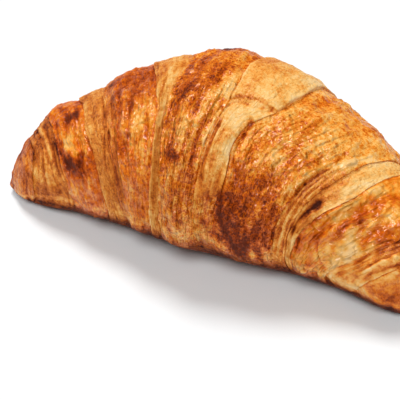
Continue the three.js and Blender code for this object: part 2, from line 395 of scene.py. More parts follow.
# The dough that shows beyond the tongue's end: how far it stands off the body, toast and wash
BEYOND_TONGUE = dict(lift=-0.55, toast=0.58, glaze=0.95)

# Toast: painted shade under the lips, paler rims along them, partly a painted highlight, paler
# at the foot, and brown underneath, partly baked brown and partly painted shade, and how it drifts
# from place to place, in broad patches and in narrow streaks
CREASE_SHADE = 0.09
RIM_WIDTH = 0.9
PALE_RIM_AND_HIGHLIGHT = 0.16
FOOT_PALER = 0.16
UNDERSIDE_BROWN_AND_SHADE = 0.86
PATCHY_TOAST = 0.10
STREAKY_TOAST = 0.07
LAYER_TOAST = 0.16
LAYER_FOOT_TOAST = 0.42
# The crown is duller than the front: by how much, round which turn, and how far round it
DULL_CROWN = 0.75
DULL_TURN = 76
DULL_SPREAD = 24

# The patterns of neighbouring wraps lie this many millimetres apart, so that they do not match
WRAPS_APART = 37.0

# Relief made with Geometry Nodes, in metres, but for Wrinkle Width, which is in millimetres
RELIEF_SIZES = {
    "Blister Spacing": 2.8 * MM,
    "Blister Height": 0.50 * MM,
    "Swell Length": 8 * MM,
    "Swell Height": 2.0 * MM,
    "Wrinkle Width": 2.6,
    "Wrinkle Height": 1.6 * MM,
    "Grain Spacing": 1.5 * MM,
    "Grain Height": 0.34 * MM,
    "Seed": 4.0,
}

# The look-at point and place of the camera, round the croissant as it lies
CAMERA_AZIMUTH = 22.0
CAMERA_ELEVATION = 39.5
CAMERA_DISTANCE = 0.2967
CAMERA_TARGET = (0.0, -0.010, 0.025)
CAMERA_LENS = 75.8
CAMERA_SHIFT = (-0.054, -0.060)

# The lights: azimuth and elevation that they come from, strength, and width in the sky
KEY_LIGHT = (222, 64, 1.95, 20)
FRONT_LIGHT = (14, 58, 1.7, 26)
# How much light the white walls give, as a share of how bright they look
WALL_FILL = 0.13
FLOOR_SIZE = 40.0

# ---------------------------------------------------------------------------------------------
# Small tools
# ---------------------------------------------------------------------------------------------


def linear(hex_colour):
    """An sRGB colour such as "#c9792c" as a linear colour with alpha."""
    channels = [int(hex_colour[i:i + 2], 16) / 255 for i in (1, 3, 5)]
    bright = [c / 12.92 if c <= 0.04045 else ((c + 0.055) / 1.055) ** 2.4 for c in channels]
    return (*bright, 1.0)


def per(size_mm):
    """The texture scale at which one feature is this many millimetres across."""
    return 1 / (size_mm * MM)


def add(tree, kind, inputs=(), output=0, **settings):
    """Adds a node with its settings, and gives one of its outputs. The inputs are listed in order
    or by name, and each is a value or the socket that feeds it."""
    node = tree.nodes.new(kind)
    for name, value in settings.items():
        setattr(node, name, value)
    for key, value in inputs.items() if isinstance(inputs, dict) else enumerate(inputs):
        if isinstance(value, bpy.types.NodeSocket):
            tree.links.new(value, node.inputs[key])
        else:
            node.inputs[key].default_value = value
    return node.outputs[output] if node.outputs else None


def set_stops(ramp_colour, stops):
    """Fills the colour ramp that gives this colour with (place, hex colour) stops."""
    elements = ramp_colour.node.color_ramp.elements
    while len(elements) < len(stops):
        elements.new(0.5)
    for element, (place, hex_colour) in zip(elements, stops):
        element.position = place
        element.color = linear(hex_colour)


def ramp(value, low, high):
    """0 below low, 1 above high, and a smooth slope between them."""
    share = np.clip((value - low) / (high - low), 0, 1)
    return share * share * (3 - 2 * share)


def bell(distance, width):
    """1 where the distance is 0, falling away to 0 on both sides within a few widths."""
    return np.exp(-((distance / width) ** 2))


def curve_through(knots_x, knots_y, x):
    """A smooth curve through the knots, read at x."""
    knots_x = np.asarray(knots_x, float)
    knots_y = np.asarray(knots_y, float)
    slopes = np.gradient(knots_y, knots_x)
    i = np.clip(np.searchsorted(knots_x, x) - 1, 0, len(knots_x) - 2)
    width = knots_x[i + 1] - knots_x[i]
    t = np.clip((x - knots_x[i]) / width, 0, 1)
    start, end = knots_y[i], knots_y[i + 1]
    slope_in, slope_out = slopes[i] * width, slopes[i + 1] * width
    return (
        start * (2 * t**3 - 3 * t**2 + 1) + slope_in * (t**3 - 2 * t**2 + t)
        + end * (3 * t**2 - 2 * t**3) + slope_out * (t**3 - t**2)
    )


LATTICE = np.random.default_rng(11).random((64, 64)) * 2 - 1


def drift(u, v, seed=0):
    """Smooth random hills between -1 and 1, one for each unit of u and v."""
    u, v = np.broadcast_arrays(np.asarray(u, float), np.asarray(v, float))
    iu, iv = np.floor(u).astype(int), np.floor(v).astype(int)
    fu, fv = u - iu, v - iv
    fu, fv = fu * fu * (3 - 2 * fu), fv * fv * (3 - 2 * fv)
    iu, iv = iu + 17 * seed, iv + 29 * seed
    near = LATTICE[iu % 64, iv % 64] * (1 - fu) + LATTICE[(iu + 1) % 64, iv % 64] * fu
    far = LATTICE[iu % 64, (iv + 1) % 64] * (1 - fu) + LATTICE[(iu + 1) % 64, (iv + 1) % 64] * fu
    return near * (1 - fv) + far * fv


# ---------------------------------------------------------------------------------------------
# The body of the roll
# ---------------------------------------------------------------------------------------------


def make_spine():
    """s, x, y and heading of the bent middle line, by adding up short steps."""
    s = np.linspace(-HALF_SPINE, HALF_SPINE, 1601)
    share = s / HALF_SPINE
    tip_heading = np.where(share < 0, LEFT_TIP_HEADING, RIGHT_TIP_HEADING)
    heading = np.sign(share) * tip_heading * np.abs(share) ** BEND_POWER
    step = s[1] - s[0]
    x = np.concatenate([[0], np.cumsum(np.cos((heading[1:] + heading[:-1]) / 2) * step)])
    y = np.concatenate([[0], np.cumsum(-np.sin((heading[1:] + heading[:-1]) / 2) * step)])
    middle = len(s) // 2
    return s, x - x[middle], y - y[middle], heading


SPINE = make_spine()


def half_width(s):
    """Half the width of the plain body at s."""
    shares, widths = zip(*HALF_WIDTHS)
    return curve_through(shares, widths, np.clip(s / HALF_SPINE, -1, 1))


def crust_point(s, turn, lift):
    """Points of the crust in millimetres, standing lift off the plain body. turn is in degrees."""
    share = np.clip(np.abs(s / HALF_SPINE), 0, 1)
    into_tip = np.clip((share - 1 + TIP_ROUNDING) / TIP_ROUNDING, 0, 1)
    round_off = np.sqrt(1 - into_tip**2)
    half = half_width(s)
    height = 2 * half * HEIGHT_PER_WIDTH
    waist = height * WAIST_PER_HEIGHT
    up = np.sin(np.radians(turn))
    reach = np.where(up > 0, height - waist, waist * UNDERSIDE_SWELL)
    out = (half + lift) * round_off * np.cos(np.radians(turn))
    z = np.maximum(waist + (reach + lift) * round_off * up, 0)
    x, y, heading = (np.interp(s, SPINE[0], column) for column in SPINE[1:])
    return np.stack([x + out * np.sin(heading), y + out * np.cos(heading), z], axis=-1)


def make_turns():
    """Turns of the columns, from the middle of the underside round and back, closest together on
    the crown and front, where the wraps end, and wide apart on the flat underside."""
    fine = np.linspace(-90, 270, 3601)
    outline = crust_point(np.zeros_like(fine), fine, 0.0)
    steps = np.linalg.norm(np.diff(outline, axis=0), axis=1)
    steps *= 1 + CLOSEST_DENSITY * bell(fine[1:] - CLOSEST_TURN, CLOSEST_SPREAD)
    steps[outline[1:, 2] <= 0] *= UNDERSIDE_DENSITY
    travelled = np.concatenate([[0], np.cumsum(steps)])
    return np.interp(np.arange(COLUMNS) / COLUMNS * travelled[-1], travelled, fine)


def wrap_strength():
    """How far lips and bulges stand out at each column: they fade where the crust turns under."""
    down = -np.sin(np.radians(TURNS))
    return 1 - ramp(down, 0.25, 0.7)


TURNS = make_turns()
STRENGTH = wrap_strength()


# ---------------------------------------------------------------------------------------------
# Wraps
# ---------------------------------------------------------------------------------------------


def edge_place(edge):
    """s of a wrap's edge at each column, closed round the underside."""
    return curve_through([EDGE_TURNS[-1] - 360, *EDGE_TURNS], [edge[-1], *edge], TURNS)


def edge_line(edge, number):
    """s of a wrap's edge at each column, slightly wavy but at the seam under the roll."""
    if len(set(edge)) == 1:
        return edge_place(edge)
    along = TURNS * 0.6
    fade = ramp(-np.abs(TURNS - 90), -178, -150)
    waves = 0.45 * drift(along / 9, 0, number) + 0.18 * drift(along / 2.6, 0, number + 20)
    return edge_place(edge) + fade * waves


def along_wrap(s):
    """Millimetres along the wrap from the crown, at each column."""
    return np.radians(TURNS - 90) * half_width(s) * RADIUS_PER_WIDTH


def named_wrinkles():
    """The lines of the table: where each runs, its fade at both ends, and its sizes."""
    for number, (_, path, half, height, toast) in enumerate(LINES):
        places, turns = zip(*path)
        along = (TURNS - turns[0]) / (turns[-1] - turns[0])
        place = curve_through(turns, places, TURNS) + 0.25 * drift(TURNS / 6, 0, number)
        fade = ramp(along, -0.08, 0.14) * (1 - ramp(along, 0.84, 1.08))
        yield place, fade, half, height, toast


def chance_wrinkles():
    """Wrinkles all round the roll, which lie at random within the wraps and run along them. The
    raised ones are paler and the sunken ones browner, partly baked so and partly painted highlight
    and painted shade."""
    chance = np.random.default_rng(WRINKLE_SEED)
    for number, wrap in enumerate(WRAPS):
        here, there = edge_place(EDGES[number]), edge_place(EDGES[number + 1])
        for wrinkle in range(wrap["wrinkles"]):
            middle, half_span = chance.uniform(-30, 215), chance.uniform(7, 26)
            share, lean = chance.uniform(0.06, 0.94), chance.uniform(-0.10, 0.10)
            half, rise = chance.uniform(0.55, 1.25), chance.choice((-1, -0.7, 0.8, 1))
            along = (TURNS - middle) / half_span
            share = share + lean * along
            place = here + (there - here) * share + 0.5 * drift(TURNS / 8, 0, wrinkle + 9 * number)
            fade = np.clip(1 - along**2, 0, 1)
            height = wrap["depth"] * rise * half / 1.25
            yield place, fade, half, height, -0.09 * rise


def add_wrinkles(s):
    """Height, and change of toast with painted shade in the furrows and painted highlight on the
    ridges, that all the wrinkles give to every point of the crust.
    """
    height, toast = np.zeros_like(s), np.zeros_like(s)
    for place, fade, half, rise, toast_and_shade in (*named_wrinkles(), *chance_wrinkles()):
        rows = np.nonzero(np.any(np.abs(s - place) < 3 * half, axis=1))[0]
        if not len(rows):
            continue
        part = slice(rows[0], rows[-1] + 1)
        profile = bell((s[part] - place) * ACROSS_PER_S, half) * fade
        height[part] += rise * profile
        toast[part] += toast_and_shade * profile
    return height, toast


def tongue_rim(share):
    """Turn at which the tongue ends in front: its tip is torn a little askew."""
    return TONGUE_END - TONGUE_END_SLANT * share + 2.5 * float(drift(share * 4, 0, 31))


def tongue_shape(share):
    """How much of the tongue is there at each column."""
    return 1 - ramp(TURNS, tongue_rim(share) - 1.2, tongue_rim(share) + 1.2)


def past(fold, s):
    """Degrees of turn past one of the folds of the tongue, at each column."""
    return TURNS - curve_through(*zip(*fold), s)


def tongue_lift(lift, share, s, hills):
    """The tongue steps down in front of its fold, dips at its second fold and its crease, and
    gets thinner to its end, beyond which the dough below it shows."""
    fold = past(TONGUE_FOLD, s)
    step = ramp(fold, -0.3, 0.9) * (1 - ramp(fold, *FOLD_FADES))
    step = step + SECOND_FOLD_SHARE * bell(past(SECOND_FOLD, s), 1.0)
    step = step + CREASE_SHARE * bell(past(TONGUE_CREASE, s), 1.0)
    lift = lift - FOLD_DEPTH * step - TONGUE_THINNING * ramp(TURNS, *TONGUE_THINS)
    there = tongue_shape(share)
    return lift * there + (BEYOND_TONGUE["lift"] + hills) * (1 - there)


def wrap_lift(wrap, share, s):
    """How far a row of a wrap stands off the body, before the fine relief."""
    start, middle, end = wrap["heights"]
    bow = 4 * (middle - (start + end) / 2)
    hills = 0.35 * drift(s / 11, along_wrap(s) / 15, 5)
    lift = start + (end - start) * share + bow * share * (1 - share) + hills
    if wrap["name"] == "tongue":
        return tongue_lift(lift, share, s, hills)
    return lift


def layers_of(wrap, across, along, number):
    """The thin layers of dough on a cut side, which overlap like shingles along the wrap: how
    high each point of them stands, 0 to 1, and a random value, -1 to 1, for the layer it is on."""
    side = -1 if wrap["lip"] == "right" else 1
    wobble = 0.9 * drift(across / 5, along / 14, number + 40) + 0.8 * drift(across / 12, along / 30, number)
    phase = side * (across / LAYER_SPACING + wobble)
    layer = np.floor(phase)
    into = phase - layer
    standing = ramp(into, 0, 0.22) * (1 - into)
    own = LATTICE[(layer.astype(int) * 7 + 13 * number) % 64, number % 64]
    patchy = np.clip(0.75 + 0.9 * drift(across / 4, along / 10, number + 60), 0, 1)
    return standing * (0.7 + 0.3 * own) * patchy, own * patchy


def wrap_ends(i, edges, overhangs):
    """s where a wrap's own rows begin and end, clear of the rows of the lips there, and whether
    each end is tucked under its neighbour's lip."""
    lip = WRAPS[i]["lip"]
    next_lip = WRAPS[i + 1]["lip"] if i + 1 < len(WRAPS) else ""
    tucked_start, tucked_end = lip == "right", next_lip == "left"
    start = edges[i] + (LIP_RUN if lip == "left" else 0)
    if tucked_start:
        start = edges[i] - TUCKED_SHARE * overhangs[i] + PLAIN_RUN * (1 - STRENGTH)
    end = edges[i + 1] - (LIP_RUN if next_lip == "right" else 0)
    if tucked_end:
        end = edges[i + 1] + TUCKED_SHARE * overhangs[i + 1] - PLAIN_RUN * (1 - STRENGTH)
    return start, end, tucked_start, tucked_end


def wrap_rows(i, edges, overhangs):
    """The rows of one wrap between the lips at its edges. The first and the last wrap end in the
    tips, where their rows lie closer together."""
    wrap = WRAPS[i]
    start, end, tucked_start, tucked_end = wrap_ends(i, edges, overhangs)
    count = max(6, round(float(np.max(end - start)) / wrap["rows"]))
    first, last = i == 0, i == len(WRAPS) - 1
    rows = []
    for j in range(1 if first else 0, count + (0 if last else 1)):
        share = j / count
        if first:
            share = 1 - math.cos(share * math.pi / 2)
        if last:
            share = math.sin(share * math.pi / 2)
        s = start + (end - start) * share
        opening = np.ones_like(TURNS)
        if tucked_start:
            opening = opening * ramp(s - edges[i], *COMES_OUT)
        if tucked_end:
            opening = opening * ramp(edges[i + 1] - s, *COMES_OUT)
        rows.append(dict(number=i, share=share, s=s, lift=wrap_lift(wrap, share, s), opening=opening))
    return rows


def lip_rows(i, edges, overhangs):
    """The rows between a wrap and the next one, from left to right. A lip that faces left belongs
    to the next wrap, and one that faces right to this one."""
    edge = edges[i + 1]
    here, there = wrap_lift(WRAPS[i], 1.0, edge), wrap_lift(WRAPS[i + 1], 0.0, edge)
    if WRAPS[i + 1]["lip"] == "left":
        number, share, lower, upper, side = i + 1, 0.0, here, there, -1
    else:
        number, share, lower, upper, side = i, 1.0, there, here, 1
    rows = []
    for tuck, level, plain in LIP_PROFILE:
        s = edge - side * (tuck * overhangs[i + 1] + plain * (1 - STRENGTH))
        lift = lower + (upper - lower) * level
        opening = np.full_like(TURNS, ramp(level, 0.5, 1.0))
        rows.append(dict(number=number, share=share, s=s, lift=lift, opening=opening))
    return rows[::-side]


def crust_rows():
    """Every row of the crust from the left tip to the right, and s of every edge, by column."""
    edges = [edge_line(edge, i) for i, edge in enumerate(EDGES)]
    overhangs = []
    for i, wrap in enumerate(WRAPS):
        overhang = 0.5 * wrap["overhang"] * STRENGTH * (0.8 + 1.2 * drift(TURNS / 11, 0, i))
        if i in (TONGUE_NUMBER, TONGUE_NUMBER + 1):
            overhang = overhang * tongue_shape(0.5)
        overhangs.append(overhang)
    rows = []
    for i in range(len(WRAPS)):
        rows += wrap_rows(i, edges, overhangs)
        if i + 1 < len(WRAPS):
            rows += lip_rows(i, edges, overhangs)
    return rows, edges


# ---------------------------------------------------------------------------------------------
# What the finish is drawn from, stored on the points of the crust
# ---------------------------------------------------------------------------------------------


def cut_share(wrap, share, cut):
    """Layers also show along one border of some washed wraps."""
    if wrap["name"] == "right wrap":
        return np.maximum(cut, ramp(share, 0.83, 0.89) * ramp(TURNS, 100, 122))
    if wrap["name"] == "left wrap":
        return np.maximum(cut, 0.8 * (1 - ramp(share, 0.10, 0.18)))
    return cut


def crown_width(edges, number):
    """Width of a wrap on the crown of the roll."""
    crown = np.argmin(np.abs(TURNS - 90))
    return edges[number + 1][crown] - edges[number][crown]


def tongue_finish(toast, glaze, cut, share, s):
    """The tongue is browner at its folds and its crease, partly baked so and partly painted shade,
    and at its end, beyond which washed dough shows.
    """
    there = tongue_shape(share)
    toast = (toast + TONGUE_BROWNING * ramp(TURNS, *TONGUE_THINS)) * there
    toast = toast + BEYOND_TONGUE["toast"] * (1 - there)
    glaze = glaze * there + BEYOND_TONGUE["glaze"] * (1 - there)
    toast = toast + FOLD_SHADE_AND_TOAST * bell(past(TONGUE_FOLD, s) - 0.3, 0.7) * there
    ragged = past(SECOND_FOLD, s) - 0.8 * drift(s / 1.6, 0, 51)
    dashes = np.clip(0.6 + drift(s / 1.3, 0, 52), 0, 1)
    toast = toast + SECOND_FOLD_SHADE_AND_TOAST * bell(ragged, 0.8) * dashes * there
    toast = toast + TONGUE_CREASE_SHADE * bell(past(TONGUE_CREASE, s), 0.9) * there
    toast = toast + TORN_RIM_TOAST * bell(TURNS - tongue_rim(share), 2.0)
    return toast, glaze, cut * there


def mark_toast_and_shade(s, along):
    """Change of toast that all the marks make, painted shade and painted highlight among them,
    with slightly ragged outlines.
    """
    toast = np.zeros_like(s)
    ragged_beside = 0.7 * drift(s / 3, along / 5, 8)
    ragged_ahead = 0.5 * drift(s / 2.5, along / 5, 9)
    for marks in MARKS.values():
        for _, mark_s, mark_turn, wide, long, amount in marks:
            lean = MARK_LEAN * np.clip(mark_s / FULL_LEAN_AT, -1, 1)
            beside = (s - mark_s - lean * (TURNS - mark_turn)) / wide
            ahead = np.radians(TURNS - mark_turn) * half_width(mark_s) * RADIUS_PER_WIDTH / long
            away = (beside + ragged_beside) ** 2 + (ahead + ragged_ahead) ** 2
            toast = toast + amount * np.exp(-away)
    return toast


def lip_rim(s, edges, i):
    """1 along the rims of a wrap's own lips, and 0 away from them."""
    rim = np.zeros_like(s)
    if WRAPS[i]["lip"] == "left":
        rim = rim + bell(s - edges[i], RIM_WIDTH)
    if i + 1 < len(WRAPS) and WRAPS[i + 1]["lip"] == "right":
        rim = rim + bell(s - edges[i + 1], RIM_WIDTH)
    return rim


def under_lips(row):
    """How deep each point of a row lies in the crease under a lip. Beyond the tongue's end there
    is no crease."""
    crease = (1 - row["opening"]) * STRENGTH
    from_tongue = row["number"] - TONGUE_NUMBER
    if from_tongue in (-1, 0) or from_tongue == 1 and row["share"] < 0.5:
        crease = crease * tongue_shape(0.5)
    return crease


FINISH = ("toast", "glaze", "shine", "grain", "cut", "layered", "relief", "across", "along")


def finish_row(row, edges):
    """The values of FINISH for one row. across and along are millimetres, across with a jump from
    wrap to wrap, and relief is how high the thin layers stand."""
    i, share, s = row["number"], row["share"], row["s"]
    wrap = WRAPS[i]
    along = along_wrap(s)
    across = np.full_like(TURNS, share * crown_width(edges, i))
    toast, glaze, cut, grain = (np.full_like(TURNS, wrap[key]) for key in ("toast", "glaze", "cut", "grain"))
    if wrap["name"] == "tongue":
        toast, glaze, cut = tongue_finish(toast, glaze, cut, share, s)
    shows = cut_share(wrap, share, cut)
    layered = np.maximum(wrap["layers"] * cut, shows - cut)
    standing, own = layers_of(wrap, across, along, i)
    toast = toast + layered * (LAYER_TOAST * own + LAYER_FOOT_TOAST * (0.35 - standing))
    glaze = glaze * (1 - 0.5 * (shows - cut))
    toast = toast + mark_toast_and_shade(s, along)
    toast = toast + PATCHY_TOAST * drift(s / 7, along / 11, 3) + STREAKY_TOAST * drift(s / 2.2, along / 7, 4)
    # The rims of the lips are paler, partly baked so and partly a painted highlight.
    patches = np.clip(0.6 + 1.2 * drift(along / 7, 0, 61 + i), 0, 1)
    toast = toast - PALE_RIM_AND_HIGHLIGHT * lip_rim(s, edges, i) * patches
    toast = toast - FOOT_PALER * ramp(TURNS, 181, 186) * (1 - ramp(TURNS, 190, 194))
    # Brown underneath, partly the baked bottom and partly painted shade on the side facing the floor.
    under = ramp(-np.sin(np.radians(TURNS)), 0.22, 0.42)
    toast = toast * (1 - under) + UNDERSIDE_BROWN_AND_SHADE * under
    glaze = glaze * (1 - 0.8 * under)
    shine = glaze * (1 - DULL_CROWN * bell(TURNS - DULL_TURN, DULL_SPREAD))
    # Painted shade in the creases under the lips.
    toast = toast + CREASE_SHADE * under_lips(row)
    relief = layered * (standing - 0.5)
    return toast, glaze, shine, grain, shows, layered, relief, across + WRAPS_APART * i, along


# ---------------------------------------------------------------------------------------------
# The mesh of the crust
# ---------------------------------------------------------------------------------------------


def grid_faces(row_count):
    """Faces between the rows, closed at each tip by a fan round a pole. The poles come last."""
    here = np.arange(COLUMNS)
    beside = (here + 1) % COLUMNS
    base = np.arange(row_count - 1)[:, None] * COLUMNS
    quads = np.stack([base + here, base + beside, base + COLUMNS + beside, base + COLUMNS + here], axis=-1)
    last = (row_count - 1) * COLUMNS
    left_pole = row_count * COLUMNS
    faces = quads.reshape(-1, 4).tolist()
    faces += [[left_pole, int(k), int(j)] for j, k in zip(here, beside)]
    faces += [[left_pole + 1, int(last + j), int(last + k)] for j, k in zip(here, beside)]
    return faces


def make_crust_mesh():
    """The whole crust as one closed mesh, with its finish stored on its points."""
    rows, edges = crust_rows()
    finish = dict(zip(FINISH, np.stack([np.stack(finish_row(row, edges)) for row in rows], axis=1)))
    s, lift, opening = (np.stack([row[name] for row in rows]) for name in ("s", "lift", "opening"))
    height, toast_and_shade = add_wrinkles(s)
    relief = LAYER_RELIEF * finish.pop("relief") + height
    finish["toast"] = finish["toast"] + toast_and_shade * opening
    finish["opening"] = opening * STRENGTH
    points = crust_point(s, TURNS, (lift + relief * opening) * STRENGTH).reshape(-1, 3)
    poles = crust_point(np.array([-HALF_SPINE, HALF_SPINE]), np.zeros(2), 0.0)

    mesh = bpy.data.meshes.new("crust")
    mesh.from_pydata(np.concatenate([points, poles]) * MM, [], grid_faces(len(rows)))
    for name, column in finish.items():
        values = np.concatenate([column.ravel(), [column[0].mean(), column[-1].mean()]])
        attribute = mesh.attributes.new(name, "FLOAT", "POINT")
        attribute.data.foreach_set("value", values.astype(np.float32))
    mesh.update()
    return mesh


def fit_to_cad(mesh):
    """Lays the mesh on z = 0 and fits its box to the CAD croissant's, a change of a few tenths
    of a millimetre, so that the crust's fine relief stays inside the real size."""
    low, high = (np.array(corner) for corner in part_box("croissant"))
    co = np.zeros(len(mesh.vertices) * 3)
    mesh.vertices.foreach_get("co", co)
    co = co.reshape(-1, 3)
    co[:, 2] = np.maximum(co[:, 2], 0)
    mine_low, mine_high = co.min(0), co.max(0)
    co = low + (co - mine_low) * (high - low) / (mine_high - mine_low)
    mesh.vertices.foreach_set("co", co.ravel())
    mesh.update()


# ---------------------------------------------------------------------------------------------
# Relief of the crust: blisters, swells, wrinkles and grain, made with Geometry Nodes
# ---------------------------------------------------------------------------------------------

MATH, MAP = "ShaderNodeMath", "ShaderNodeMapRange"
NOISE, VORONOI = "ShaderNodeTexNoise", "ShaderNodeTexVoronoi"


def crust_relief_tree(material):
    """Blisters stand in crowds on the egg wash, wrinkles run along the wraps, and swells and
    grain are everywhere. All of it fades under the lips and under the roll."""
    tree = bpy.data.node_groups.new("crust_relief", "GeometryNodeTree")
    tree.interface.new_socket("Geometry", in_out="INPUT", socket_type="NodeSocketGeometry")
    for name in RELIEF_SIZES:
        tree.interface.new_socket(name, in_out="INPUT", socket_type="NodeSocketFloat")
    tree.interface.new_socket("Geometry", in_out="OUTPUT", socket_type="NodeSocketGeometry")

    given = add(tree, "NodeGroupInput").node.outputs
    place = add(tree, "GeometryNodeInputPosition")
    opening, glaze, cut, across, along = (
        add(tree, "GeometryNodeInputNamedAttribute", {"Name": name}, "Attribute")
        for name in ("opening", "glaze", "cut", "across", "along")
    )
    slow = add(tree, MATH, (along, 0.28), operation="MULTIPLY")
    flow = add(tree, "ShaderNodeCombineXYZ", {"X": across, "Y": slow})

    fields = {}
    for spacing, kind, where, output, dimensions, more in (
        ("Blister Spacing", VORONOI, place, "Distance", "voronoi_dimensions", {}),
        ("Swell Length", NOISE, place, "Fac", "noise_dimensions", {"Detail": 2.0}),
        ("Wrinkle Width", NOISE, flow, "Fac", "noise_dimensions", {"Detail": 3.0, "Distortion": 0.6}),
        ("Grain Spacing", NOISE, place, "Fac", "noise_dimensions", {"Detail": 2.0}),
    ):
        scale = add(tree, MATH, (1.0, given[spacing]), operation="DIVIDE")
        inputs = {"Vector": where, "W": given["Seed"], "Scale": scale, **more}
        fields[spacing] = add(tree, kind, inputs, output, **{dimensions: "4D"})
    centred = {
        spacing: add(tree, MATH, (fields[spacing], 0.5), operation="SUBTRACT")
        for spacing in ("Swell Length", "Wrinkle Width", "Grain Spacing")
    }

    dome = add(tree, MAP, {"Value": fields["Blister Spacing"], "From Min": 0.62, "From Max": 0.05},
               interpolation_type="SMOOTHERSTEP")
    crowd = add(tree, MAP, {"Value": fields["Swell Length"], "From Min": 0.40, "From Max": 0.60})
    blister = add(tree, MATH, (dome, crowd), operation="MULTIPLY")
    blister = add(tree, MATH, (blister, glaze), operation="MULTIPLY")
    washed = add(tree, MATH, (glaze, 0.2), operation="ADD")
    wrinkle = add(tree, MATH, (centred["Wrinkle Width"], washed), operation="MULTIPLY")
    uncut = add(tree, MATH, (1.45, cut), operation="SUBTRACT")
    swell = add(tree, MATH, (centred["Swell Length"], uncut), operation="MULTIPLY")

    raised = 0.0
    for field, height in (
        (blister, "Blister Height"),
        (swell, "Swell Height"),
        (wrinkle, "Wrinkle Height"),
        (centred["Grain Spacing"], "Grain Height"),
    ):
        raised = add(tree, MATH, (field, given[height], raised), operation="MULTIPLY_ADD")
    raised = add(tree, MATH, (raised, opening), operation="MULTIPLY")
    normal = add(tree, "GeometryNodeInputNormal")
    offset = add(tree, "ShaderNodeVectorMath", {0: normal, "Scale": raised}, operation="SCALE")
    grown = add(tree, "GeometryNodeSetPosition", {"Geometry": given["Geometry"], "Offset": offset})
    for name, field in (("blister", blister), ("wrinkle", wrinkle)):
        grown = add(tree, "GeometryNodeStoreNamedAttribute",
                    {"Geometry": grown, "Name": name, "Value": field}, data_type="FLOAT", domain="POINT")
    real = add(tree, "GeometryNodeRealizeInstances", {"Geometry": grown})
    dressed = add(tree, "GeometryNodeSetMaterial", {"Geometry": real, "Material": material})
    add(tree, "NodeGroupOutput", {"Geometry": dressed})
    return tree


def grown_mesh(mesh, name, tree, sizes):
    """The plain mesh that a Geometry Nodes tree makes of this one, with these sizes."""
    maker = bpy.data.objects.new(name, mesh)
    bpy.context.scene.collection.objects.link(maker)
    modifier = maker.modifiers.new("grow", "NODES")
    modifier.node_group = tree
    for socket in tree.interface.items_tree:
        if socket.in_out == "INPUT" and socket.name in sizes:
            modifier[socket.identifier] = sizes[socket.name]
    graph = bpy.context.evaluated_depsgraph_get()
    made = bpy.data.meshes.new_from_object(maker.evaluated_get(graph), depsgraph=graph)
    bpy.data.objects.remove(maker)
    made.name = name
    return made


# ---------------------------------------------------------------------------------------------
# Finishes
# ---------------------------------------------------------------------------------------------


def bare_material(name):
    """A new material and its node tree, with no nodes in it yet."""
    material = bpy.data.materials.new(name)
    material.use_nodes = True
    material.node_tree.nodes.clear()
    return material, material.node_tree


